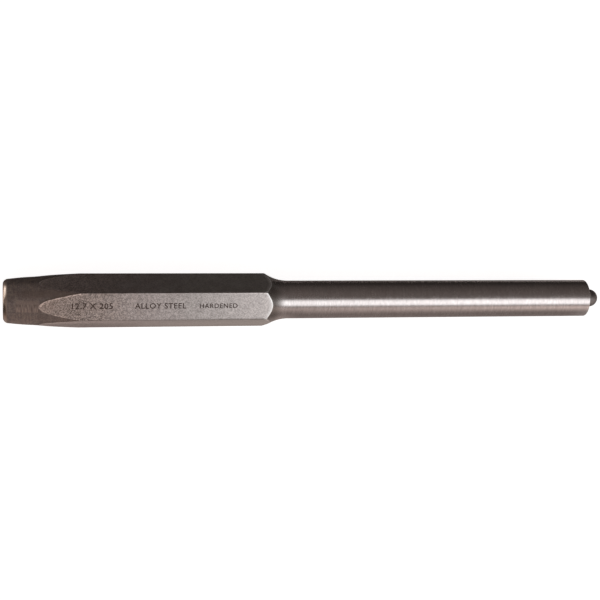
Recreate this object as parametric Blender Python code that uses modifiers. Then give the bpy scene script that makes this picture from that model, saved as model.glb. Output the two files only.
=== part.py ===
"""Hexagonal roll-pin punch: one solid bar of tool steel, forged and turned.

Metres, +Z up, real size. The origin is the centre of the striking face.
The long axis runs along +X, from the striking face to the tip of the pilot
nub. The punch lies on one flat of its hexagon, so two flats face +Z and -Z.

Along +X the bar has five zones:
  1. striking head: rounded edge, then a taper that grows into the hexagon,
  2. hexagonal shank, the grip,
  3. shoulder: a concave fillet from the hexagon down to the drive pin,
  4. drive pin: a long cylinder with a flat end face,
  5. pilot nub: a small dome on that face, which centres in a roll pin's bore.

The outline is turned about the axis, then intersected with a hexagonal bar.
"""

import math

import bmesh
import bpy
from mathutils import Matrix

MM = 0.001

COLLECTION_NAME = "roll_pin_punch"
PUNCH_NAME = "punch_body"
BAR_NAME = "hexagonal_bar"

# Lengths are in millimetres, and places are measured from the striking face.

# Hexagonal bar
HEX_ACROSS_FLATS = 15.875  # 5/8 in
HEX_CORNER_RADIUS = HEX_ACROSS_FLATS / 2 / math.cos(math.pi / 6)
HEX_EDGE_RADIUS = 0.25  # softening of the six long edges
HEX_EDGE_SEGMENTS = 4
HEX_BEVEL_ANGLE = 40  # degrees; sharper edges than this are bevelled
BAR_OVERHANG = 10.0  # bar beyond each end of the punch

# Turned zones run this far past the corners, so that the bar trims them.
TURNED_REACH = HEX_CORNER_RADIUS + 0.4

# Striking head: rounded edge
FACE_RADIUS = 5.75  # flat disc of the striking face
HEAD_EDGE_LENGTH = 1.7
HEAD_EDGE_POWER = 1.25  # 1 would give a true quarter ellipse
HEAD_EDGE_SEGMENTS = 7
HEAD_RADIUS = 7.17  # where the edge ends and the taper starts

# Striking head: taper
HEAD_TAPER = 0.0815  # growth of the radius per unit of length
HEAD_SWELL = 0.11  # the taper is a little fuller near the face, from forging
HEAD_SWELL_LENGTH = 12.0
HEAD_STEP = 0.085  # it fills out again where it runs into the flats,
HEAD_STEP_START = 9.8
HEAD_STEP_END = 14.0
HEAD_STEEPER = 0.0075  # and from there on grows this much faster
HEAD_STATIONS = (HEAD_STEP_END, 13.0, 12.0, 11.0, 10.0, 8.0, 6.0, 4.0)

# Shoulder
SHOULDER_END = 93.2  # where the fillet meets the drive pin
SHOULDER_FILLET = 14.2  # radius of the concave fillet
SHOULDER_SEGMENTS = 18

# Drive pin
PIN_RADIUS = 12.7 / 2  # 1/2 in diameter
PIN_FACE = 199.75  # the pin's end face
PIN_EDGE_BREAK = 0.15
PIN_EDGE_SEGMENTS = 3

# Pilot nub
NUB_BASE_RADIUS = 3.4
NUB_DOME_RADIUS = 3.05
NUB_DOME_ANGLE = 80  # degrees from the axis to where the flank starts
NUB_DOME_SEGMENTS = 9
NUB_LENGTH = 5.15
NUB_TIP = PIN_FACE + NUB_LENGTH

TURN_STEPS = 72  # facets round the axis
MERGE_DISTANCE = 1e-6  # metres; joins the vertices that meet on the axis
SHARP_ANGLE = 24  # degrees; edges that turn more than this are shaded sharp

# Black-oxide steel
STEEL_COLOUR = (0.22, 0.19, 0.175, 1.0)
STEEL_METALLIC = 1.0
STEEL_ROUGHNESS = 0.36


def clear_scene():
    for obj in list(bpy.data.objects):
        bpy.data.objects.remove(obj, do_unlink=True)


def new_collection(name, hidden=False):
    collection = bpy.data.collections.new(name)
    bpy.context.scene.collection.children.link(collection)
    collection.hide_render = hidden
    return collection


def new_object(name, built, collection):
    """An object in the collection, from a bmesh that is then freed."""
    mesh = bpy.data.meshes.new(name)
    built.to_mesh(mesh)
    built.free()
    obj = bpy.data.objects.new(name, mesh)
    collection.objects.link(obj)
    return obj


# The outline, as points (x, radius) from the nub's tip back to the striking face.


def arc(centre, radius, start, end, segments):
    """Points on an arc, with its two ends; angles in degrees from +X."""
    points = []
    for i in range(segments + 1):
        angle = math.radians(start + (end - start) * i / segments)
        x = centre[0] + radius * math.cos(angle)
        points.append((x, centre[1] + radius * math.sin(angle)))
    return points


def pilot_nub():
    """A dome that runs into a slightly conical flank, back to the end face."""
    centre = (NUB_TIP - NUB_DOME_RADIUS, 0.0)
    dome = arc(centre, NUB_DOME_RADIUS, 0, NUB_DOME_ANGLE, NUB_DOME_SEGMENTS)
    return dome + [(PIN_FACE, NUB_BASE_RADIUS)]


def drive_pin():
    """The rounded rim of the end face; the shoulder's first point ends the cylinder."""
    centre = (PIN_FACE - PIN_EDGE_BREAK, PIN_RADIUS - PIN_EDGE_BREAK)
    return arc(centre, PIN_EDGE_BREAK, 0, 90, PIN_EDGE_SEGMENTS)


def shoulder():
    """The concave fillet, tangent to the pin, out to just past the hexagon's corners."""
    centre = (SHOULDER_END, PIN_RADIUS + SHOULDER_FILLET)
    rise = TURNED_REACH - PIN_RADIUS
    sweep = math.degrees(math.acos(1 - rise / SHOULDER_FILLET))
    return arc(centre, SHOULDER_FILLET, -90, -90 - sweep, SHOULDER_SEGMENTS)


def head_swell(x):
    """Extra radius of the forged swell at x."""
    if x >= HEAD_SWELL_LENGTH:
        return 0.0
    return HEAD_SWELL * math.sin(math.pi * x / HEAD_SWELL_LENGTH) ** 2


def head_step(x):
    """Extra radius at x where the taper runs into the flats: a smooth step, then a slope."""
    t = (x - HEAD_STEP_START) / (HEAD_STEP_END - HEAD_STEP_START)
    t = min(max(t, 0.0), 1.0)
    return HEAD_STEP * t * t * (3 - 2 * t) + HEAD_STEEPER * max(x - HEAD_STEP_END, 0.0)


def taper_radius(x):
    """Radius of the head's taper at x; it is HEAD_RADIUS at the rounded edge."""
    swell = head_swell(x) - head_swell(HEAD_EDGE_LENGTH)
    return HEAD_RADIUS + swell + head_step(x) + HEAD_TAPER * (x - HEAD_EDGE_LENGTH)


def striking_head():
    """From past the hexagon's corners back to the centre of the striking face."""
    rise = TURNED_REACH - taper_radius(HEAD_STEP_END)
    taper_end = HEAD_STEP_END + rise / (HEAD_TAPER + HEAD_STEEPER)
    points = [(taper_end, TURNED_REACH)]
    points += [(x, taper_radius(x)) for x in HEAD_STATIONS]

    # The rounded edge is close to a quarter ellipse.
    edge_rise = HEAD_RADIUS - FACE_RADIUS
    for i in range(HEAD_EDGE_SEGMENTS + 1):
        angle = math.radians(90 * i / HEAD_EDGE_SEGMENTS)
        x = HEAD_EDGE_LENGTH * (1 - math.sin(angle))
        points.append((x, FACE_RADIUS + edge_rise * math.cos(angle) ** HEAD_EDGE_POWER))
    points.append((0.0, 0.0))
    return points


def turned_blank(collection):
    """The outline turned about Z, then laid along +X."""
    outline = pilot_nub() + drive_pin() + shoulder() + striking_head()
    built = bmesh.new()
    vertices = [built.verts.new((radius * MM, 0.0, x * MM)) for x, radius in outline]
    for pair in zip(vertices, vertices[1:]):
        built.edges.new(pair)
    blank = new_object(PUNCH_NAME, built, collection)
    blank.rotation_euler = (0.0, math.pi / 2, 0.0)

    screw = blank.modifiers.new("turn", "SCREW")
    screw.axis = "Z"
    screw.angle = math.tau
    screw.steps = TURN_STEPS
    screw.render_steps = TURN_STEPS
    screw.use_merge_vertices = True
    screw.merge_threshold = MERGE_DISTANCE
    screw.use_smooth_shade = True
    return blank


def corner_turn(built):
    """Angle that brings the nearest corner of the upright prism onto +Y."""
    corner = min((v for v in built.verts if v.co.y > 0), key=lambda v: abs(v.co.x))
    return math.pi / 2 - math.atan2(corner.co.y, corner.co.x)


def hexagonal_bar(collection):
    """The drawn bar that the punch is cut from, with its long edges softened."""
    length = (NUB_TIP + 2 * BAR_OVERHANG) * MM
    built = bmesh.new()
    bmesh.ops.create_cone(
        built,
        cap_ends=True,
        cap_tris=False,
        segments=6,
        radius1=HEX_CORNER_RADIUS * MM,
        radius2=HEX_CORNER_RADIUS * MM,
        depth=length,
    )
    # A corner goes onto +Y, so that two flats face +Z and -Z once the bar lies along X.
    for angle, axis in ((corner_turn(built), "Z"), (math.pi / 2, "Y")):
        turn = Matrix.Rotation(angle, 3, axis)
        bmesh.ops.rotate(built, cent=(0, 0, 0), matrix=turn, verts=built.verts)
    bar = new_object(BAR_NAME, built, collection)
    bar.location = (length / 2 - BAR_OVERHANG * MM, 0.0, 0.0)
    bar.hide_render = True
    bar.display_type = "WIRE"

    bevel = bar.modifiers.new("soft_edges", "BEVEL")
    # Setback of a round on an edge where the surface turns by 60 degrees.
    bevel.width = HEX_EDGE_RADIUS * math.tan(math.pi / 6) * MM
    bevel.segments = HEX_EDGE_SEGMENTS
    bevel.limit_method = "ANGLE"
    bevel.angle_limit = math.radians(HEX_BEVEL_ANGLE)
    return bar


def tool_steel():
    material = bpy.data.materials.new("tool_steel_black_oxide")
    material.use_nodes = True
    shader = material.node_tree.nodes["Principled BSDF"]
    shader.inputs["Base Color"].default_value = STEEL_COLOUR
    shader.inputs["Metallic"].default_value = STEEL_METALLIC
    shader.inputs["Roughness"].default_value = STEEL_ROUGHNESS
    return material


def cut_to_hexagon(punch, bar):
    cut = punch.modifiers.new("cut_to_hexagon", "BOOLEAN")
    cut.operation = "INTERSECT"
    cut.object = bar
    cut.solver = "EXACT"


def finish(punch):
    """Make the turned and cut form the mesh, so that its edges can be marked sharp."""
    bpy.context.view_layer.update()
    graph = bpy.context.evaluated_depsgraph_get()
    mesh = bpy.data.meshes.new_from_object(punch.evaluated_get(graph))
    mesh.transform(punch.matrix_world)
    punch.modifiers.clear()
    punch.rotation_euler = (0.0, 0.0, 0.0)
    punch.data = mesh
    mesh.name = PUNCH_NAME
    mesh.materials.clear()
    mesh.materials.append(tool_steel())
    mesh.shade_smooth()
    mesh.set_sharp_from_angle(angle=math.radians(SHARP_ANGLE))


def main():
    clear_scene()
    parts = new_collection(COLLECTION_NAME)
    cutters = new_collection(COLLECTION_NAME + "_cutters", hidden=True)
    punch = turned_blank(parts)
    cut_to_hexagon(punch, hexagonal_bar(cutters))
    finish(punch)


main()
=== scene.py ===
"""A roll-pin punch: one continuous mesh of the bar, with a procedural steel material.

The bar lies along X with its axis on Y = Z = 0: the striking face at x = 0, then the head's
taper, the hexagonal shank, the shoulder's fillet, the drive pin and, at the high X end, the
nub. Two flats are level; the camera stands in front, on the -Y side. Lengths are in
millimetres until they become mesh coordinates.
"""

import math
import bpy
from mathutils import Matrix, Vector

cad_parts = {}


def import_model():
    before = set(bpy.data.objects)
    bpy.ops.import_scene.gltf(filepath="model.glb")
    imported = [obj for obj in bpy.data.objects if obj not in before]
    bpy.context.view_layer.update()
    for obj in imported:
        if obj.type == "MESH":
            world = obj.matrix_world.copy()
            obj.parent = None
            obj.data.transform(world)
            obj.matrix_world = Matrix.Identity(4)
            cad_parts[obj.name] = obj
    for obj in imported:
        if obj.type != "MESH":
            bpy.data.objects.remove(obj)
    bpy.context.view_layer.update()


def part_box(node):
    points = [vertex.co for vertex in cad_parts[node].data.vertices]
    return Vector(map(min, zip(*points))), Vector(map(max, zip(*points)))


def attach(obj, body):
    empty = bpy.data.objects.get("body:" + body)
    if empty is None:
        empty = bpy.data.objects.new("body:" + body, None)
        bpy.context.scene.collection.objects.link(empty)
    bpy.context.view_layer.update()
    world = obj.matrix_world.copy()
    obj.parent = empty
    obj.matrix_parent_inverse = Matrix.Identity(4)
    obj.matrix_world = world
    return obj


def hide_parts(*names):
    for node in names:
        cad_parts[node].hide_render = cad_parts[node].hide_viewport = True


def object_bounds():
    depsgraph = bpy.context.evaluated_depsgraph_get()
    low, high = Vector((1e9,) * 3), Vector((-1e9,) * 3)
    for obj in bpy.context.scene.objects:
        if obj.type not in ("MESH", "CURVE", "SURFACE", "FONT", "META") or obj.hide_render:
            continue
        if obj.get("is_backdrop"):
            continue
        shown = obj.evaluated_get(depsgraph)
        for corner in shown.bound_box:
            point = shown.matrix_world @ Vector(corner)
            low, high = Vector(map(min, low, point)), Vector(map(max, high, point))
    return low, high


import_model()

from types import SimpleNamespace

import bmesh
import bpy
import numpy as np
from mathutils import Matrix, Vector

MM = 0.001
BODY = "root"
NODE = "punch_body"
NAME = "punch_visual"

# ---------------------------------------------------------------- dimensions
LOW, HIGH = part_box(NODE)
LENGTH = (HIGH.x - LOW.x) / MM
APOTHEM = (HIGH.z - LOW.z) / MM / 2
CORNER = (HIGH.y - LOW.y) / MM / 2  # out to the crown of a softened long edge
# A corner of radius q softened from a sharp hexagon reaches (apothem - q) / cos 30 + q.
COS30 = math.cos(math.radians(30))
HALF_FLAT = math.pi / 6  # angle from a flat's middle to its corner
EDGE_R = (APOTHEM / COS30 - CORNER) / (1 / COS30 - 1)
EDGE_CENTRE = (APOTHEM - EDGE_R) / COS30
EDGE_ANGLE = math.atan2(EDGE_R * 0.5, EDGE_CENTRE + EDGE_R * COS30)  # half a softened corner

FACE_R = 5.75
FACE_RINGS = 8
FACE_DIVISIONS = 8.5  # leaves half a ring between the last ring and the rim
HEAD_EDGE = 1.7  # length of the head's rounded edge
HEAD_EDGE_POWER = 1.25
HEAD_R = 7.17
HEAD_TRIM = 0.017
TAPER = 0.0815  # rise in radius per length
SWELL = 0.11
SWELL_LENGTH = 12.0
HEAD_STEP = 0.085
HEAD_STEP_START, HEAD_STEP_END = 9.8, 14.0
HEAD_STEEPER = 0.0075  # added to the taper past the step
# The taper's unevenness: depth, lobes round the bar, phase, twist per length.
UNEVEN = [(0.010, 3, 0.7, 0.0), (0.007, 7, 2.1, 0.0), (0.004, 13, 0.3, 0.12)]
UNEVEN_OVER = (2.0, 7.0)

FLAT_MARGIN = 0.07  # from a flat's ends to its first and last rows
SCALLOP_SOFT = 0.20  # half length of the softening where a flat meets the fillet
SCALLOP_MARGIN = 0.06
SHOULDER_END = 93.2
FILLET_R = 14.2
PIN_R = 6.35
PIN_FACE = LENGTH - 5.15
PIN_BREAK = 0.15  # radius of the pin's rounded rim
PIN_MARGIN = 0.05
RIM_MARGIN = 0.04
NUB_BASE = 3.4
NUB_R = 3.05
NUB_ANGLE = 80  # degrees of the nub's round end, from its tip to its flank
ROOT_FILLET = 0.22
ROOT_SHARE = 0.16  # part of the flank taken up by the root fillet


def smooth(value, over):
    """0 to 1 with eased ends as the value crosses the span."""
    t = np.clip((value - over[0]) / (over[1] - over[0]), 0.0, 1.0)
    return t * t * (3 - 2 * t)


# ---------------------------------------------------------------- the outline
def hexagon(off_middle):
    """Radius of the softened hexagon at an angle within 30 degrees of a flat's middle."""
    from_corner = HALF_FLAT - abs(off_middle)
    if from_corner >= EDGE_ANGLE:
        return APOTHEM / math.cos(off_middle)
    sine, cosine = math.sin(from_corner), math.cos(from_corner)
    return EDGE_CENTRE * cosine + math.sqrt(EDGE_R**2 - (EDGE_CENTRE * sine) ** 2)


def taper_at(x, theta):
    """Radius of the slightly swollen and uneven taper."""
    uneven = sum(
        depth * math.sin(lobes * theta + phase + twist * x)
        for depth, lobes, phase, twist in UNEVEN
    )
    swell = SWELL * math.sin(math.pi * min(x, SWELL_LENGTH) / SWELL_LENGTH) ** 2
    start = SWELL * math.sin(math.pi * HEAD_EDGE / SWELL_LENGTH) ** 2
    step = HEAD_STEP * smooth(x, over=(HEAD_STEP_START, HEAD_STEP_END))
    step += HEAD_STEEPER * max(x - HEAD_STEP_END, 0.0)
    straight = HEAD_R - start + swell + step + TAPER * (x - HEAD_EDGE)
    return straight + uneven * smooth(x, over=UNEVEN_OVER) - HEAD_TRIM


def taper_end(radius, theta):
    """Where the taper reaches this radius."""
    x = SWELL_LENGTH + (radius - HEAD_R - TAPER * (SWELL_LENGTH - HEAD_EDGE)) / TAPER
    for _ in range(30):
        x -= (taper_at(x, theta) - radius) / TAPER
    return x


def fillet_at(x):
    before_end = max(SHOULDER_END - x, 0.0)
    return PIN_R + FILLET_R - math.sqrt(FILLET_R**2 - before_end * before_end)


def shoulder_start(radius):
    """Where the fillet reaches this radius."""
    rise = radius - PIN_R
    return SHOULDER_END - math.sqrt(FILLET_R**2 - (FILLET_R - rise) ** 2)


def column_angles():
    """Angles across one flat, close together over the softened corners.

    The closing corner belongs to the next flat.
    """
    corner = [HALF_FLAT - EDGE_ANGLE * (1 - i / 3) for i in range(3)]
    support = HALF_FLAT - EDGE_ANGLE - math.radians(0.3)
    inner = np.linspace(-support, support, 23)
    return [-HALF_FLAT] + [-angle for angle in reversed(corner)] + list(inner) + corner


def spread(start, stop, count, first=1):
    """Evenly spaced numbers up to the stop; the start itself only with first=0."""
    return [start + (stop - start) * i / count for i in range(first, count + 1)]


def bend(start, control, end, t):
    """A point (x, radius) on a quadratic curve."""
    return tuple(
        (1 - t) ** 2 * a + 2 * t * (1 - t) * b + t * t * c
        for a, b, c in zip(start, control, end)
    )


def head_points(hex_radius, theta):
    """Striking face, rounded edge and taper, up to the start of the hexagon."""
    points = [(0.0, FACE_R * i / FACE_DIVISIONS) for i in range(1, FACE_RINGS + 1)]
    rise = HEAD_R - FACE_R - HEAD_TRIM
    for i in range(15):
        angle = math.radians(90 * (1 - i / 14))
        x = HEAD_EDGE * (1 - math.sin(angle))
        points.append((x, FACE_R + rise * math.cos(angle) ** HEAD_EDGE_POWER))
    end = taper_end(hex_radius, theta)
    for i in range(1, 27):
        t = i / 26
        eased = t if t < 0.5 else 1 - 2 * (1 - t) ** 2
        x = HEAD_EDGE + (end - FLAT_MARGIN - HEAD_EDGE) * eased
        points.append((x, taper_at(x, theta)))
    points.append((end, hex_radius))
    return points


def shank_points(hex_radius, start):
    """Flat, softened scallop edge and fillet."""
    edge = shoulder_start(hex_radius)
    before, after = edge - SCALLOP_SOFT, edge + SCALLOP_SOFT
    rows = spread(start + FLAT_MARGIN, before - FLAT_MARGIN, 72, first=0)
    points = [(x, hex_radius) for x in rows]
    for i in range(8):
        points.append(
            bend((before, hex_radius), (edge, hex_radius), (after, fillet_at(after)), i / 7)
        )
    fillet = after + SCALLOP_MARGIN
    points += [(x, fillet_at(x)) for x in spread(fillet, SHOULDER_END, 30, first=0)]
    return points


def pin_points():
    """Drive pin, its rounded rim, and the end face in to the nub's root."""
    rows = spread(SHOULDER_END, PIN_FACE - PIN_BREAK - PIN_MARGIN, 80)
    points = [(x, PIN_R) for x in rows]
    for i in range(6):
        angle = math.radians(90 * (1 - i / 5))
        x = PIN_FACE - PIN_BREAK + PIN_BREAK * math.cos(angle)
        points.append((x, PIN_R - PIN_BREAK + PIN_BREAK * math.sin(angle)))
    rings = spread(PIN_R - PIN_BREAK - RIM_MARGIN, NUB_BASE + ROOT_FILLET, 8)
    points += [(PIN_FACE, radius) for radius in rings]
    return points


def nub_round(degrees):
    angle = math.radians(degrees)
    return LENGTH - NUB_R + NUB_R * math.cos(angle), NUB_R * math.sin(angle)


def nub_points():
    """Root fillet, flank and round end, short of the tip."""
    top = nub_round(NUB_ANGLE)
    foot = (PIN_FACE, NUB_BASE)
    up = tuple(low + (high - low) * ROOT_SHARE for low, high in zip(foot, top))
    root = (PIN_FACE, NUB_BASE + ROOT_FILLET)
    points = [bend(root, foot, up, i / 5) for i in range(1, 6)]
    points += zip(spread(up[0], top[0], 5), spread(up[1], top[1], 5))
    points += [nub_round(NUB_ANGLE * (1 - i / 20)) for i in range(1, 20)]
    return points


def column(off_middle, theta):
    """Points (x, radius) of one line along the bar, from the face's first ring to the nub."""
    hex_radius = hexagon(off_middle)
    head = head_points(hex_radius, theta)
    return head + shank_points(hex_radius, start=head[-1][0]) + pin_points() + nub_points()


def face_outward(mesh, weld=None):
    """Turn all faces outward, after joining points closer than the weld distance in metres."""
    bm = bmesh.new()
    bm.from_mesh(mesh)
    if weld:
        bmesh.ops.remove_doubles(bm, verts=bm.verts, dist=weld)
    bmesh.ops.recalc_face_normals(bm, faces=bm.faces)
    bm.to_mesh(mesh)
    bm.free()


def add_object(name, data):
    obj = bpy.data.objects.new(name, data)
    bpy.context.scene.collection.objects.link(obj)
    return obj


def build_bar():
    columns = []
    for flat in range(6):
        centre = math.radians(90 + 60 * flat)  # a flat's normal, from +Y towards +Z
        for off_middle in column_angles():
            theta = centre + off_middle
            columns.append((theta, column(off_middle, theta)))
    rows = len(columns[0][1])
    verts = [(0.0, 0.0, 0.0)]
    for theta, points in columns:
        cosine, sine = math.cos(theta), math.sin(theta)
        verts += [(x * MM, r * cosine * MM, r * sine * MM) for x, r in points]
    tip = len(verts)
    verts.append((LENGTH * MM, 0.0, 0.0))
    faces = []
    for j in range(len(columns)):
        here = 1 + j * rows
        beside = 1 + ((j + 1) % len(columns)) * rows
        faces.append((0, beside, here))
        for i in range(rows - 1):
            faces.append((here + i, beside + i, beside + i + 1, here + i + 1))
        faces.append((here + rows - 1, beside + rows - 1, tip))
    mesh = bpy.data.meshes.new(NAME)
    mesh.from_pydata(verts, [], faces)
    mesh.validate()
    face_outward(mesh)
    return add_object(NAME, mesh)


# ---------------------------------------------------------------- size marks
FRONT_NORMAL = Vector((0.0, -COS30, 0.5))  # of the flat that faces front and up
FRONT_UP = Vector((0.0, 0.5, COS30))
FRONT_ALONG = Vector((1.0, 0.0, 0.0))
MARK_DEPTH = 0.11
MARK_ABOVE = 0.4  # how far a cutter stands out of the flat
MARK_RISE = 0.3  # from the flat's middle line up to the marks' middle
# Text, x of its start, letter height, rise, letter spacing.
MARKS = [
    ("12.7 X 205", 21.5, 2.05, MARK_RISE, 1.10),
    ("ALLOY STEEL", 41.5, 1.9, MARK_RISE, 1.10),
    ("HARDENED", 62.5, 1.6, MARK_RISE - 0.1, 1.12),
]


def evaluated_mesh(obj):
    bpy.context.view_layer.update()
    graph = bpy.context.evaluated_depsgraph_get()
    return bpy.data.meshes.new_from_object(obj.evaluated_get(graph))


def mark_cutter(text, start, height, rise, spacing):
    """Closed letters standing across the front flat's surface."""
    curve = bpy.data.curves.new("mark", "FONT")
    curve.body = text
    curve.size = 1.0
    curve.resolution_u = 3
    curve.space_character = spacing
    curve.align_y = "BOTTOM_BASELINE"
    curve.extrude = 0.5
    curve.offset = 0.018  # a bolder stroke than the font's own
    curve.fill_mode = "BOTH"
    letters = add_object("mark_temp", curve)
    mesh = evaluated_mesh(letters)
    bpy.data.objects.remove(letters)

    points = np.array([v.co for v in mesh.vertices], float)
    low, high = points.min(0), points.max(0)
    scale = height / (high[1] - low[1])
    along = (points[:, 0] - low[0]) * scale
    up = (points[:, 1] - (low[1] + high[1]) / 2) * scale
    out = np.where(points[:, 2] > 0, MARK_ABOVE, -MARK_DEPTH)
    placed = (
        np.array(FRONT_NORMAL * APOTHEM)[None, :]
        + (along + start)[:, None] * np.array(FRONT_ALONG)
        + (up + rise)[:, None] * np.array(FRONT_UP)
        + out[:, None] * np.array(FRONT_NORMAL)
    ) * MM
    mesh.vertices.foreach_set("co", placed.astype(np.float32).ravel())
    face_outward(mesh, weld=2e-7)
    return add_object("mark_cutter", mesh)


def cut_marks(bar):
    for mark in MARKS:
        cutter = mark_cutter(*mark)
        cut = bar.modifiers.new("mark", "BOOLEAN")
        cut.operation = "DIFFERENCE"
        cut.solver = "EXACT"
        cut.object = cutter
        mesh = evaluated_mesh(bar)
        bar.modifiers.clear()
        old = bar.data
        bar.data = mesh
        bpy.data.meshes.remove(old)
        bpy.data.objects.remove(cutter)
    close_cracks(bar.data)


def crack_corner(bm):
    """An open edge with an open corner lying on it: edge, its start, share along it, corner."""
    open_edges = [e for e in bm.edges if len(e.link_faces) == 1]
    corners = {v for e in open_edges for v in e.verts}
    found = None
    for edge in open_edges:
        start, end = edge.verts
        line = end.co - start.co
        for corner in corners:
            if corner is start or corner is end:
                continue
            t = (corner.co - start.co).dot(line) / line.length_squared
            if 1e-4 < t < 1 - 1e-4 and (start.co + line * t - corner.co).length < 1e-7:
                found = (edge, start, t, corner)
    return found


def close_cracks(mesh):
    """Where an edge runs past corners that lie on it, it is split there and joined to them."""
    bm = bmesh.new()
    bm.from_mesh(mesh)
    for _ in range(40):
        found = crack_corner(bm)
        if found is None:
            break
        edge, start, t, corner = found
        _, split = bmesh.utils.edge_split(edge, start, t)
        bmesh.ops.weld_verts(bm, targetmap={split: corner})
    bm.to_mesh(mesh)
    bm.free()


# ---------------------------------------------------------------- masks on the mesh
# Point attributes, and the mask in each of their channels.
ZONES = {
    "zone_a": ("head", "shoulder", "pin", "flat"),
    "zone_b": ("nub", "end_face", "scallop", "long_edge"),
    "zone_c": ("rim", "face", "mark", "front"),
    "zone_d": ("flame", "soot"),
}


def bell(distance, width):
    return np.exp(-((distance / width) ** 2))


def paint_masks(bar):
    """Zones of finish and of painted light and shade, worked out from each point's place on the
    bar.
    """
    mesh = bar.data
    co = np.empty(len(mesh.vertices) * 3, np.float32)
    mesh.vertices.foreach_get("co", co)
    co = co.reshape(-1, 3).astype(float) / MM
    x, y, z = co.T
    radius = np.hypot(y, z)
    theta = np.arctan2(z, y)
    off_middle = (theta - math.pi / 2 + HALF_FLAT) % (math.pi / 3) - HALF_FLAT
    hex_radius = np.array([hexagon(float(angle)) for angle in off_middle])
    places = zip(hex_radius, theta % (2 * math.pi))
    flat_start = np.array([taper_end(float(r), float(angle)) for r, angle in places])
    flat_end = np.array([shoulder_start(float(r)) for r in hex_radius])

    head = 1 - smooth(x - flat_start, over=(-0.05, 0.05))
    shoulder = smooth(x - flat_end, over=(-0.05, 0.1))
    flat = (1 - head) * (1 - shoulder)
    from_corner = (HALF_FLAT - np.abs(off_middle)) / EDGE_ANGLE
    across = np.clip(1 - from_corner * 0.98, 0, 1) ** 0.5
    on_nub = radius < NUB_BASE + 0.15
    # a painted highlight: a thin line along the flats' ends at the fillet, fading out on the
    # lower flats
    scallop = bell(x - flat_end + 0.09, width=0.18) * smooth(z, over=(-3.2, 0.2))
    front_middle = math.radians(150)
    front = flat * (np.abs(theta - front_middle) < HALF_FLAT)
    depth = APOTHEM - co @ np.array(FRONT_NORMAL)
    in_letters = (front > 0.5) & (np.abs(off_middle) < math.radians(20))

    # The flame-shaped ends of the flats: a painted highlight just inside their outline, broken
    # up like scuffed steel, and darker just outside; both are weaker on the front flat's lower
    # half.
    # The slope is the outline's, across over along; square turns a distance along X into one
    # square to the outline.
    slope = 0.72 / np.maximum(APOTHEM * np.tan(np.abs(off_middle)), 0.3)
    square = slope / np.hypot(1.0, slope)
    upper = 0.35 + 0.65 * (theta < front_middle)
    inside = np.maximum(x - flat_start - 0.07, 0.0) * square
    flame = bell(inside, width=0.36) * (x > flat_start - 0.01)
    outside = np.maximum(flat_start - x, 0.0)
    soot = bell(outside, width=2.4) * (x < flat_start - 0.03)

    masks = {
        "head": head,
        "shoulder": shoulder,
        "pin": smooth(x, over=(87.4, 90.8)),
        "flat": flat,
        "nub": (x > PIN_FACE - 0.01) & on_nub,
        "end_face": (x > PIN_FACE - 0.05) & ~on_nub,
        "scallop": scallop,
        "long_edge": across * (1 - head) * (1 - shoulder),
        "rim": (1 - smooth(x, over=(0.75, 1.6))) * (radius > FACE_R * 0.97),
        "face": (x < 0.01) & (radius <= FACE_R * 0.99),
        "mark": (depth > MARK_DEPTH * 0.5) & in_letters,
        "front": front,
        "flame": flame * smooth(x, over=(27.0, 24.0)) * upper,
        "soot": soot * smooth(x, over=(25.5, 21.0)) * upper,
    }
    for name, channels in ZONES.items():
        data = np.zeros((len(x), 4), np.float32)
        for i, channel in enumerate(channels):
            data[:, i] = masks[channel]
        attribute = mesh.attributes.new(name, "FLOAT_COLOR", "POINT")
        attribute.data.foreach_set("color", data.ravel())


# ---------------------------------------------------------------- node helpers
def add_node(tree, kind, **settings):
    node = tree.nodes.new(kind)
    for key, value in settings.items():
        setattr(node, key, value)
    return node


def feed(socket, value):
    """Link a wire to an input, or set the input's number or colour."""
    if isinstance(value, Wire):
        socket.id_data.links.new(value.socket, socket)
    elif socket.type == "RGBA":
        socket.default_value = (*value, 1.0)
    else:
        socket.default_value = value


def source(tree, kind, output, **settings):
    return Wire(add_node(tree, kind, **settings).outputs[output])


def join(tree, x, y, z):
    node = add_node(tree, "ShaderNodeCombineXYZ")
    for socket, value in zip(node.inputs, (x, y, z)):
        feed(socket, value)
    return Wire(node.outputs[0])


def calculate(operation, first, second=0.0, clamp=False):
    """A Math node; at least one of the values is a wire."""
    wire = first if isinstance(first, Wire) else second
    node = wire.add("ShaderNodeMath", operation=operation, use_clamp=clamp)
    for socket, value in zip(node.inputs, (first, second, 0.0)):
        feed(socket, value)
    return Wire(node.outputs[0])


def bearing(up, across):
    """Angle in degrees of the direction (-across, up)."""
    return calculate("ARCTAN2", up, across * -1.0) * (180 / math.pi)


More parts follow.
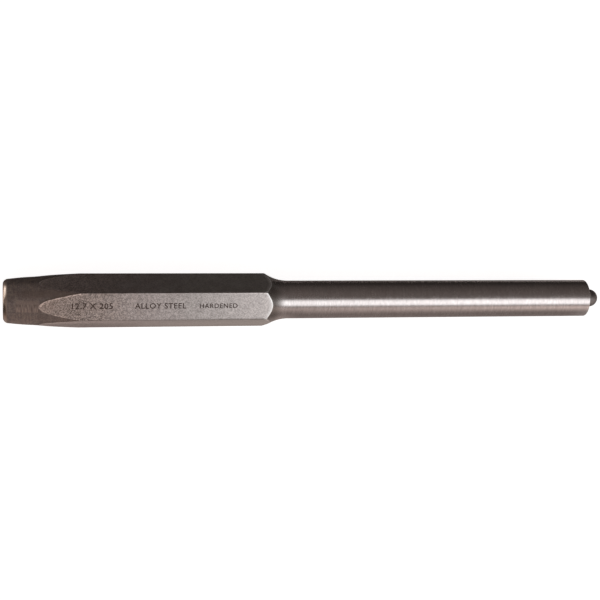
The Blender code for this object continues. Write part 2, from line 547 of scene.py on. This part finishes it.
class Wire:
    """A node's output. Arithmetic on it adds Math nodes; vectors have their own methods."""

    def __init__(self, socket):
        self.socket = socket

    def add(self, kind, **settings):
        return add_node(self.socket.id_data, kind, **settings)

    def __add__(self, other):
        return calculate("ADD", self, other)

    def __radd__(self, other):
        return calculate("ADD", other, self)

    def __sub__(self, other):
        return calculate("SUBTRACT", self, other)

    def __mul__(self, other):
        return calculate("MULTIPLY", self, other)

    def __truediv__(self, other):
        return calculate("DIVIDE", self, other)

    def __pow__(self, other):
        return calculate("POWER", self, other)

    def __abs__(self):
        return calculate("ABSOLUTE", self)

    def vector(self, operation, other=None, scale=None):
        node = self.add("ShaderNodeVectorMath", operation=operation)
        feed(node.inputs[0], self)
        if other is not None:
            feed(node.inputs[1], other)
        if scale is not None:
            feed(node.inputs["Scale"], scale)
        return Wire(node.outputs[0])

    def scaled(self, scale):
        return self.vector("SCALE", scale=scale)

    def plus(self, other):
        return self.vector("ADD", other)

    def times(self, other):
        return self.vector("MULTIPLY", other)

    def separate(self, kind):
        node = self.add(kind)
        feed(node.inputs[0], self)
        return [Wire(socket) for socket in node.outputs]

    def split(self):
        return self.separate("ShaderNodeSeparateXYZ")

    def _mix(self, first, second, data_type, socket_type, factor):
        node = self.add("ShaderNodeMix", data_type=data_type)
        feed(node.inputs["Factor"], factor)
        for name, value in (("A", first), ("B", second)):
            named = (s for s in node.inputs if s.name == name and s.type == socket_type)
            feed(next(named), value)
        return node, Wire(next(s for s in node.outputs if s.type == socket_type))

    def mix(self, off, on):
        """Two colours mixed by this wire, from off at 0 to on at 1."""
        return self._mix(off, on, "RGBA", "RGBA", factor=self)[1]

    def blend(self, off, on):
        """Two numbers mixed by this wire, from off at 0 to on at 1."""
        return self._mix(off, on, "FLOAT", "VALUE", factor=self)[1]

    def shade(self, factor):
        """This colour made lighter or darker by a number."""
        grey = self.add("ShaderNodeCombineColor")
        for i in range(3):
            feed(grey.inputs[i], factor)
        node, shaded = self._mix(self, Wire(grey.outputs[0]), "RGBA", "RGBA", factor=1.0)
        node.blend_type = "MULTIPLY"
        return shaded

    def ease(self, over, to=(0.0, 1.0), kind="SMOOTHSTEP"):
        """Map the span onto another, with eased ends."""
        node = self.add("ShaderNodeMapRange", interpolation_type=kind)
        feed(node.inputs["Value"], self)
        for name, number in zip(("From Min", "From Max", "To Min", "To Max"), (*over, *to)):
            feed(node.inputs[name], number)
        return Wire(node.outputs["Result"])

    def line(self, over, to=(0.0, 1.0)):
        """Map the span onto another, straight."""
        return self.ease(over, to, kind="LINEAR")

    def stops(self, over, points, peak=1.0):
        """Straight lines between (value, colour or number) points; peak is the brightest."""
        low, high = over
        place = self.line(over)
        node = self.add("ShaderNodeValToRGB")
        feed(node.inputs[0], place)
        band = node.color_ramp
        band.interpolation = "LINEAR"
        while len(band.elements) > 1:
            band.elements.remove(band.elements[-1])
        for i, (at, colour) in enumerate(points):
            if not isinstance(colour, tuple):
                colour = (colour, colour, colour)
            where = min(max((at - low) / (high - low), 0.0), 1.0)
            element = band.elements[0] if i == 0 else band.elements.new(where)
            element.position = where
            element.color = (*(c / peak for c in colour), 1.0)
        output = Wire(node.outputs["Color"])
        return output if peak == 1.0 else output.scaled(peak)

    def cells(self, scale):
        """A random number per cell."""
        node = self.add("ShaderNodeTexVoronoi")
        feed(node.inputs["Vector"], self)
        feed(node.inputs["Scale"], scale)
        return Wire(node.outputs["Color"]).separate("ShaderNodeSeparateColor")[0]

    def noise(self, scale=1.0, detail=2.0, roughness=0.5):
        node = self.add("ShaderNodeTexNoise")
        feed(node.inputs["Vector"], self)
        feed(node.inputs["Scale"], scale)
        feed(node.inputs["Detail"], detail)
        feed(node.inputs["Roughness"], roughness)
        return Wire(node.outputs["Fac"])


# ---------------------------------------------------------------- the steel
# Colour of the front flat, and of the others, by x. Both are browner towards the head; the
# front flat's steep darkening towards the head is painted shade, for the front light falling
# off there.
FRONT_TONES = [
    (12, (0.225, 0.168, 0.143)),
    (19, (0.200, 0.154, 0.133)),
    (30, (0.235, 0.188, 0.168)),
    (46, (0.280, 0.239, 0.224)),
    (63, (0.320, 0.288, 0.272)),
    (77, (0.398, 0.359, 0.343)),
    (84, (0.436, 0.396, 0.378)),
]
OTHER_TONES = [
    (12, (0.375, 0.312, 0.290)),
    (20, (0.345, 0.290, 0.273)),
    (30, (0.325, 0.275, 0.260)),
    (46, (0.318, 0.283, 0.272)),
    (63, (0.324, 0.300, 0.285)),
    (84, (0.352, 0.332, 0.315)),
]
# Brightness of the lower flats, a painted shade for the shaded floor they mirror, and strength
# of the grit, by x.
LOWER_SHADE = [(20, 0.70), (29, 0.67), (37, 0.78), (46, 1.03), (54, 1.12)]
GRIT_STRENGTH = [(14, 0.74), (24, 1.08), (34, 0.74), (46, 0.51), (62, 0.45), (86, 0.40)]
BAR_SPAN = (0.0, 100.0)  # the x span of these tables


def zone_masks(tree):
    masks = {}
    for name, channels in ZONES.items():
        node = add_node(tree, "ShaderNodeAttribute", attribute_name=name)
        parts = Wire(node.outputs["Color"]).separate("ShaderNodeSeparateColor")
        masks.update(zip(channels, (*parts, Wire(node.outputs["Alpha"]))))
    return SimpleNamespace(**masks)


def grains(tree, point, x, y, z):
    """Patterns with their scales per millimetre."""
    radius = calculate("SQRT", y * y + z * z)
    safe = calculate("MAXIMUM", radius, 0.05)
    side_y, side_z = y / safe, z / safe
    # Turning marks run round the bar: fine along X, long round it, and in circles on the
    # end faces, where the radius takes over from X.
    along = x + radius

    def turned(lengthwise, around):
        return join(tree, along * lengthwise, side_y * around, side_z * around)

    return SimpleNamespace(
        speckle=point.noise(scale=2.6, roughness=0.6),
        fine=point.noise(scale=7.0, roughness=0.6),
        mottle=point.noise(scale=0.35, detail=3.0, roughness=0.55),
        grit=point.cells(scale=3.6),
        patchy=point.noise(scale=0.9, roughness=0.6),
        rings=turned(lengthwise=6.0, around=1.6).noise(detail=3.0, roughness=0.65),
        bands=turned(lengthwise=1.1, around=0.9).noise(),
        short=turned(lengthwise=3.0, around=3.6).noise(roughness=0.6),
    )


def flat_steel(zone, grain, x, z, up_flat):
    drift = x + grain.mottle.line(over=(0.3, 0.7), to=(-5.0, 5.0))
    front = drift.stops(over=BAR_SPAN, points=FRONT_TONES)
    others = drift.stops(over=BAR_SPAN, points=OTHER_TONES)
    # painted shade on the lower flats, darker towards the head, for the shaded floor they
    # mirror
    lower_shade = x.stops(over=BAR_SPAN, points=LOWER_SHADE)
    below = z.ease(over=(-2.0, -4.0))
    others = others.shade(below.blend(off=1.0, on=lower_shade))
    colour = zone.front.mix(off=others, on=front)

    strength = x.stops(over=BAR_SPAN, points=GRIT_STRENGTH)
    grit = grain.grit.line(over=(0.0, 1.0), to=(-0.62, 0.62))
    grit = grit + grain.speckle.line(over=(0.3, 0.7), to=(-0.12, 0.12))
    grit = grit * zone.front.blend(off=0.65, on=1.0)
    colour = colour.shade(1.0 + grit * strength)
    colour = colour.shade(grain.mottle.line(over=(0.3, 0.7), to=(0.94, 1.05)))

    # painted highlight along the flats' flame-shaped ends, broken up by speckle like scuffed
    # steel
    rubbed_and_sheen = zone.flame * grain.speckle.ease(over=(0.35, 0.55), to=(0.35, 1.0))
    rubbed_and_sheen = rubbed_and_sheen * zone.front.blend(off=0.3, on=1.0)
    colour = colour.shade(rubbed_and_sheen.blend(off=1.0, on=2.1))

    # a painted highlight along the front flat's upper edge, and darker along its lower one
    edges = up_flat.ease(over=(-4.45, -3.9), to=(0.54, 1.0))
    edges = edges * up_flat.ease(over=(4.0, 4.5), to=(1.0, 1.16))
    reach = zone.front * x.ease(over=(40.0, 80.0), to=(0.25, 1.0))
    return colour.shade(reach.blend(off=1.0, on=edges))


def head_steel(tree, zone, grain, x, y, z, up_flat):
    dark, light = (0.152, 0.113, 0.097), (0.184, 0.139, 0.120)
    rust_brown = (0.225, 0.148, 0.110)
    dark_brown = (0.128, 0.088, 0.070)
    rubbed_brown = (0.245, 0.172, 0.140)
    colour = grain.mottle.ease(over=(0.35, 0.65)).mix(off=dark, on=light)
    colour = colour.shade(grain.rings.line(over=(0.35, 0.65), to=(0.78, 1.22)))
    colour = colour.shade(grain.patchy.line(over=(0.3, 0.7), to=(0.82, 1.18)))
    colour = colour.shade(grain.grit.line(over=(0.0, 1.0), to=(0.74, 1.26)))
    rust = grain.rings.ease(over=(0.50, 0.62)) * grain.patchy.ease(over=(0.45, 0.65))
    colour = (rust * 0.65).mix(off=colour, on=rust_brown)
    # darker in a fringe on the head just outside the flats' flame-shaped ends
    colour = colour.shade(zone.soot.blend(off=1.0, on=0.72))

    # painted shade over the top and down the back, where the head faces away from the front
    # light; 0 degrees is level in front, 90 the top
    around = bearing(up=z, across=y)
    top = around.ease(over=(82.0, 98.0)) * around.ease(over=(140.0, 165.0), to=(1.0, 0.0))
    colour = colour.shade(top.blend(off=1.0, on=0.68))
    # a browner band along the upper front
    brown = around.ease(over=(49.0, 55.0)) * around.ease(over=(66.0, 74.0), to=(1.0, 0.0))
    brown = brown * x.ease(over=(3.0, 9.0), to=(0.3, 1.0))
    colour = (brown * 0.6).mix(off=colour, on=dark_brown)

    # a rusty patch between the face and the front flat's flame, with strokes up it
    facing = (y * -COS30 + z * 0.5).ease(over=(3.0, 5.0))
    patch = x.ease(over=(3.7, 4.5)) * x.ease(over=(11.0, 11.8), to=(1.0, 0.0)) * facing
    low_edge = up_flat.ease(over=(-2.0, -1.4))
    rubbed_and_sheen = patch * (low_edge * up_flat.ease(over=(1.6, 2.6), to=(1.0, 0.0)))
    colour = (rubbed_and_sheen * 0.6).mix(off=colour, on=rubbed_brown)
    low_edge = up_flat.ease(over=(-1.85, -1.6))
    upright = patch * (low_edge * up_flat.ease(over=(0.75, 1.05), to=(1.0, 0.0)))
    strokes = join(tree, x * 2.6, up_flat * 0.32, 3.0).noise(detail=1.0)
    strokes = strokes.ease(over=(0.40, 0.60), to=(0.66, 1.24))
    return colour.shade(upright.blend(off=1.0, on=strokes))


def pin_steel(grain):
    dark, light = (0.508, 0.458, 0.444), (0.528, 0.484, 0.470)
    colour = grain.bands.ease(over=(0.35, 0.65)).mix(off=dark, on=light)
    colour = colour.shade(grain.rings.line(over=(0.32, 0.68), to=(0.94, 1.055)))
    return colour.shade(grain.short.line(over=(0.32, 0.68), to=(0.89, 1.10)))


def face_steel(grain):
    dark, light = (0.33, 0.295, 0.265), (0.43, 0.39, 0.36)
    colour = grain.patchy.ease(over=(0.38, 0.62)).mix(off=dark, on=light)
    return colour.shade(grain.rings.line(over=(0.35, 0.65), to=(0.86, 1.10)))


def steel_colour(tree, zone, grain, x, y, z):
    up_flat = y * 0.5 + z * COS30  # up the front flat from its middle line
    shoulder = grain.bands.ease(over=(0.35, 0.65)).mix(
        off=(0.258, 0.234, 0.218), on=(0.295, 0.270, 0.252)
    )
    nub = grain.mottle.ease(over=(0.35, 0.65)).mix(
        off=(0.172, 0.150, 0.142), on=(0.225, 0.205, 0.196)
    )
    sheen_breakup = grain.fine.ease(over=(0.35, 0.55), to=(0.6, 1.0))
    rim = zone.rim * grain.mottle.ease(over=(0.3, 0.7), to=(0.7, 1.0))
    colour = flat_steel(zone, grain, x, z, up_flat)
    # each layer's cover and colour, laid over the flats in turn
    layers = [
        (zone.head, head_steel(tree, zone, grain, x, y, z, up_flat)),
        (zone.shoulder, shoulder),
        (zone.pin, pin_steel(grain)),
        (zone.nub, nub),
        # a near-white painted highlight along the scallop edge, broken up by fine grain
        (calculate("MULTIPLY", zone.scallop, sheen_breakup, clamp=True), (0.99, 0.975, 0.95)),
        (zone.long_edge * 0.5, (0.26, 0.225, 0.205)),
        (rim, (0.36, 0.265, 0.21)),
        (zone.face, face_steel(grain)),
        (zone.mark * 0.95, (0.045, 0.03, 0.025)),
    ]
    for cover, layer in layers:
        colour = cover.mix(off=colour, on=layer)
    return colour


def steel_roughness(zone, grain):
    rough = zone.head.blend(off=0.42, on=0.62)
    layers = [
        (zone.shoulder, 0.27),
        (zone.pin, 0.24),
        (zone.nub, 0.55),
        (zone.rim, 0.25),
        (zone.scallop, 0.40),
    ]
    for cover, value in layers:
        rough = cover.blend(off=rough, on=value)
    rough = rough + grain.fine.line(over=(0.3, 0.7), to=(-0.03, 0.03))
    return rough + grain.mottle.line(over=(0.3, 0.7), to=(-0.02, 0.03))


def steel_relief(zone, grain):
    """Height in millimetres; the pin is nearly smooth."""
    blasted = grain.speckle * zone.pin.blend(off=0.012, on=0.0)
    blasted = blasted + grain.fine * zone.pin.blend(off=0.006, on=0.0004)
    turned = zone.pin.blend(off=(zone.head + zone.shoulder) * 0.006, on=0.0010)
    return blasted + grain.rings * turned


def steel():
    material = bpy.data.materials.new("punch_steel")
    material.use_nodes = True
    tree = material.node_tree
    inputs = tree.nodes["Principled BSDF"].inputs
    point = source(tree, "ShaderNodeTexCoord", "Object").scaled(1000.0)  # millimetres
    x, y, z = point.split()
    zone = zone_masks(tree)
    grain = grains(tree, point, x, y, z)

    feed(inputs["Base Color"], steel_colour(tree, zone, grain, x, y, z))
    feed(inputs["Roughness"], steel_roughness(zone, grain))
    feed(inputs["Metallic"], zone.rim.blend(off=zone.head.blend(off=1.0, on=0.35), on=1.0))
    bump = add_node(tree, "ShaderNodeBump")
    feed(bump.inputs["Strength"], 1.0)
    feed(bump.inputs["Distance"], MM)
    feed(bump.inputs["Height"], steel_relief(zone, grain))
    feed(inputs["Normal"], Wire(bump.outputs[0]))
    return material


# ---------------------------------------------------------------- floor
WARM = (1.14, 0.98, 0.92)  # the room's own light, beside the neutral key light
FLOOR_COLOUR = (0.80, 0.795, 0.79)
FLOOR_GLOW = 0.88
HALFWAY = 40.0  # distance from the axis squeezed to one half
# What the steel mirrors of the floor: y, from far in front to far behind, and brightness.
FLOOR_ACROSS = [
    (-3000, 0.28), (-400, 0.29), (-160, 0.34), (-80, 0.55), (-48, 0.80), (-32, 0.68),
    (-22, 0.48), (-15, 0.28), (-10, 0.21), (-5, 0.24), (5, 0.15), (20, 0.12),
    (60, 0.11), (110, 0.08), (600, 0.10), (3000, 0.5),
]
# Half the brightness in front of the bar, by x.
FLOOR_ALONG = [(85, 0.50), (100, 0.36), (130, 0.44), (165, 0.50), (200, 0.60), (240, 0.66)]


def tinted(points, tint):
    return [(at, tuple(strength * t for t in tint)) for at, strength in points]


def mirrored_floor(tree):
    position = source(tree, "ShaderNodeNewGeometry", "Position").scaled(1000.0)
    x, y, _ = position.split()

    def warm(strength):
        return join(tree, *WARM).scaled(strength)

    def hump(middle, width, height):
        """A strip of light along the bar."""
        off = ((y - middle) / width) ** 2.0
        return calculate("EXPONENT", off * -1.0) * height

    squeezed = y / (abs(y) + HALFWAY)
    across = [(at / (abs(at) + HALFWAY), strength) for at, strength in FLOOR_ACROSS]
    light = squeezed.stops(over=(-1.0, 1.0), points=tinted(across, WARM), peak=1.2)
    side = x.stops(over=(0.0, 300.0), points=FLOOR_ALONG).scaled(2.0)
    light = light.times(y.ease(over=(-24.0, -12.0)).mix(off=side, on=(1.0, 1.0, 1.0)))

    # pale ground under and past the tip
    tip = x.ease(over=(194.0, 214.0)) * y.ease(over=(-26.0, -8.0))
    tip = tip * y.ease(over=(6.0, 30.0), to=(0.30, 0.10))
    light = light.plus(join(tree, tip, tip, tip))
    # light under the hexagon's lower flats
    near = hump(middle=-9.0, width=5.0, height=0.38) + hump(middle=0.0, width=9.0, height=0.10)
    light = light.plus(warm(near * x.ease(over=(86.0, 98.0), to=(1.0, 0.0))))

    # beyond the striking face: dark in front, with a bright patch behind
    beyond = x.ease(over=(-4.0, -14.0))
    dark = y.ease(over=(2.0, 14.0), to=(0.22, 1.0))
    light = light.scaled(beyond.blend(off=1.0, on=dark))
    turn = bearing(up=y, across=x)
    patch = turn.ease(over=(0.0, 8.0)) * turn.ease(over=(36.0, 46.0), to=(1.0, 0.0))
    patch_strength = 1.0
    light = light.plus(join(tree, 1.0, 1.05, 1.08).scaled(beyond * patch * patch_strength))

    # far in front of the tip, dimmer; straight past the tip, paler
    far_front = y.ease(over=(-72.0, -44.0), to=(1.0, 0.0))
    dimmer = x.ease(over=(205.0, 245.0), to=(1.0, 0.60))
    light = light.scaled(far_front.blend(off=1.0, on=dimmer))
    past_tip = x.ease(over=(222.0, 310.0), to=(0.0, 0.42)) * y.ease(over=(-70.0, -30.0))
    light = light.plus(warm(past_tip))

    # behind the bar, pale for reflections that run along it
    incoming = source(tree, "ShaderNodeNewGeometry", "Incoming").split()[0]

    def lengthwise():
        return abs(incoming).ease(over=(0.50, 0.62))

    behind = lengthwise() * y.ease(over=(4.0, 14.0), to=(0.0, 0.42))
    light = light.plus(warm(behind * source(tree, "ShaderNodeLightPath", "Is Glossy Ray")))
    # a little more in front of the drive pin's lower side, and in front of the nub
    pin_reach = x.ease(over=(92.0, 106.0)) * x.ease(over=(120.0, 200.0), to=(1.0, 0.55))
    below_pin = hump(middle=-20.0, width=9.0, height=0.085) * pin_reach
    nub_reach = y.ease(over=(-100.0, -60.0)) * y.ease(over=(-18.0, -10.0), to=(0.6, 0.0))
    before_nub = lengthwise() * x.ease(over=(203.0, 212.0)) * nub_reach
    return light.plus(warm(below_pin + before_nub))


def floor_material():
    """A pale floor for the camera, and another light for what the steel mirrors of it."""
    material = bpy.data.materials.new("floor_white")
    material.use_nodes = True
    tree = material.node_tree
    link = tree.links.new
    tree.nodes.remove(tree.nodes["Principled BSDF"])
    diffuse = add_node(tree, "ShaderNodeBsdfDiffuse")
    feed(diffuse.inputs["Color"], FLOOR_COLOUR)
    glow = add_node(tree, "ShaderNodeEmission")
    feed(glow.inputs["Color"], (1, 1, 1))
    feed(glow.inputs["Strength"], FLOOR_GLOW)
    pale = add_node(tree, "ShaderNodeAddShader")
    link(diffuse.outputs[0], pale.inputs[0])
    link(glow.outputs[0], pale.inputs[1])
    bounce = add_node(tree, "ShaderNodeEmission")
    feed(bounce.inputs["Color"], mirrored_floor(tree))
    mix = add_node(tree, "ShaderNodeMixShader")
    feed(mix.inputs[0], source(tree, "ShaderNodeLightPath", "Is Camera Ray"))
    link(bounce.outputs[0], mix.inputs[1])
    link(pale.outputs[0], mix.inputs[2])
    link(mix.outputs[0], tree.nodes["Material Output"].inputs["Surface"])
    return material


def floor():
    low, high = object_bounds()
    span = high.x - low.x
    centre = Vector(((low.x + high.x) / 2, 0.0, low.z))
    bpy.ops.mesh.primitive_plane_add(size=40 * span, location=centre)
    plane = bpy.context.object
    plane.name = "floor"
    plane.data.materials.append(floor_material())
    plane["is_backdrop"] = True


# ---------------------------------------------------------------- lights
# Brightness by elevation in degrees (0 level in front, 90 overhead, 180 level behind),
# or by the direction's x (-1 past the striking face, 1 past the tip).
SKY = (-20.0, 180.0)
SIDES = (-1.0, 1.0)
KEY_TINT = (0.995, 1.03, 1.06)
KEY = [(-20, 0.0), (0, 0.0), (5, 0.75), (9, 2.0), (12, 2.3), (36, 2.1), (42, 0.4), (46, 0.0)]
KEY_SIDES = [
    (-1.0, 0.06), (-0.8, 0.10), (-0.7, 0.25), (-0.5, 0.25), (-0.38, 0.15), (-0.17, 0.50),
    (0.0, 0.70), (0.17, 0.78), (0.20, 0.86), (0.225, 0.68), (0.25, 0.74), (0.31, 1.03),
    (0.37, 0.98), (0.42, 0.88), (0.48, 0.88), (0.64, 0.46), (0.8, 0.20), (1.0, 0.20),
]
ROOM = [
    (-20, 0.1), (40, 0.14), (52, 0.13), (64, 0.12), (80, 0.13), (100, 0.10),
    (125, 0.072), (150, 0.03), (180, 0.03),
]
ROOM_SIDES = [(-1.0, 0.5), (-0.1, 0.52), (0.06, 0.48), (0.16, 0.38), (0.28, 0.33), (1.0, 0.33)]
ROOM_STRENGTH = 3.0
SPILL = [(40, 0.0), (48, 0.12), (56, 0.10), (66, 0.04), (80, 0.0)]
LAMP_TINT = (1.0, 1.08, 1.12)
LAMP_STRENGTH = 3.0
STRIPS = [(110, 0.0), (124, 0.6), (158, 0.6), (172, 0.15)]
STRIP_ENDS = [
    (-0.88, 0.0), (-0.78, 1.0), (-0.62, 1.0), (-0.55, 0.0),
    (0.60, 0.0), (0.68, 0.14), (0.74, 0.14), (0.80, 0.0),
]


def world():
    studio = bpy.data.worlds.new("studio")
    bpy.context.scene.world = studio
    studio.use_nodes = True
    tree = studio.node_tree
    direction = source(tree, "ShaderNodeTexCoord", "Generated").vector("NORMALIZE")
    x, y, z = direction.split()
    elevation = bearing(up=z, across=y)
    # the key, a long softbox low in front, and the dim, warm room
    key = elevation.stops(over=SKY, points=tinted(KEY, KEY_TINT), peak=4.0)
    key = key.times(x.stops(over=SIDES, points=KEY_SIDES))
    room = elevation.stops(over=SKY, points=tinted(ROOM, WARM), peak=4.0)
    room = room.times(x.stops(over=SIDES, points=ROOM_SIDES).scaled(ROOM_STRENGTH))
    # above the key, a faint spill on the tip's side
    spill = elevation.stops(over=(40.0, 80.0), points=SPILL)
    spill = spill.scaled(x.ease(over=(0.33, 0.43)))
    # a long lamp low behind the striking head; only the steel mirrors it
    glossy = source(tree, "ShaderNodeLightPath", "Is Glossy Ray")
    turn = bearing(up=y, across=x)
    lamp = turn.ease(over=(0.0, 8.0)) * turn.ease(over=(38.0, 48.0), to=(1.0, 0.0))
    lamp = lamp * (z.ease(over=(0.05, 0.16)) * z.ease(over=(0.62, 0.86), to=(1.0, 0.0)))
    lamp = join(tree, *LAMP_TINT).scaled(lamp * glossy * LAMP_STRENGTH)
    # two strips high behind the ends of the bar
    strips = elevation.stops(over=(100.0, 180.0), points=STRIPS)
    strips = strips.times(x.stops(over=SIDES, points=STRIP_ENDS)).scaled(glossy)
    total = key.plus(room).plus(spill).plus(lamp).plus(strips)
    # the camera itself sees a plain white backdrop
    seen = source(tree, "ShaderNodeLightPath", "Is Camera Ray")
    background = tree.nodes["Background"]
    feed(background.inputs["Color"], seen.mix(off=total, on=(1.0, 1.0, 1.0)))
    feed(background.inputs["Strength"], 1.0)


# ---------------------------------------------------------------- camera
DISTANCE = 2.11335  # in lengths of the bar
TARGET = 0.47579  # share of the bar's length
ELEVATION, YAW, ROLL = math.radians(45.618), math.radians(12.158), math.radians(-0.318)
CAMERA_LIFT = -0.198


def camera():
    """Above and in front, nearer the striking head than the tip."""
    low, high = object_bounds()
    span = high.x - low.x
    target = Vector((low.x + TARGET * span, 0.0, 0.0))
    front = Vector((0, -math.cos(ELEVATION), math.sin(ELEVATION)))
    along = Vector((1, 0, 0))
    level_up = Vector((0, math.sin(ELEVATION), math.cos(ELEVATION)))
    back = math.cos(YAW) * front - math.sin(YAW) * along
    level_right = math.cos(YAW) * along + math.sin(YAW) * front
    right = math.cos(ROLL) * level_right + math.sin(ROLL) * level_up
    up = -math.sin(ROLL) * level_right + math.cos(ROLL) * level_up
    pose = Matrix((right, up, back)).transposed().to_4x4()
    pose.translation = target + back * (DISTANCE * span) + up * (CAMERA_LIFT * MM)
    data = bpy.data.cameras.new("camera")
    data.sensor_width = 36.0
    data.lens = 77.16
    data.clip_start, data.clip_end = 0.02, 50.0
    obj = add_object("camera", data)
    obj.matrix_world = pose
    bpy.context.scene.camera = obj


# ---------------------------------------------------------------- assembly
bar = build_bar()
cut_marks(bar)
paint_masks(bar)
bar.data.name = NAME
bar.data.materials.clear()
bar.data.materials.append(steel())
bar.data.shade_smooth()
bar.data.set_sharp_from_angle(angle=math.radians(38))
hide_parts(NODE)
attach(bar, BODY)

floor()
world()
camera()
view = bpy.context.scene.view_settings
view.view_transform = "Standard"
view.look = "None"
view.exposure = 0.0
view.gamma = 1.0
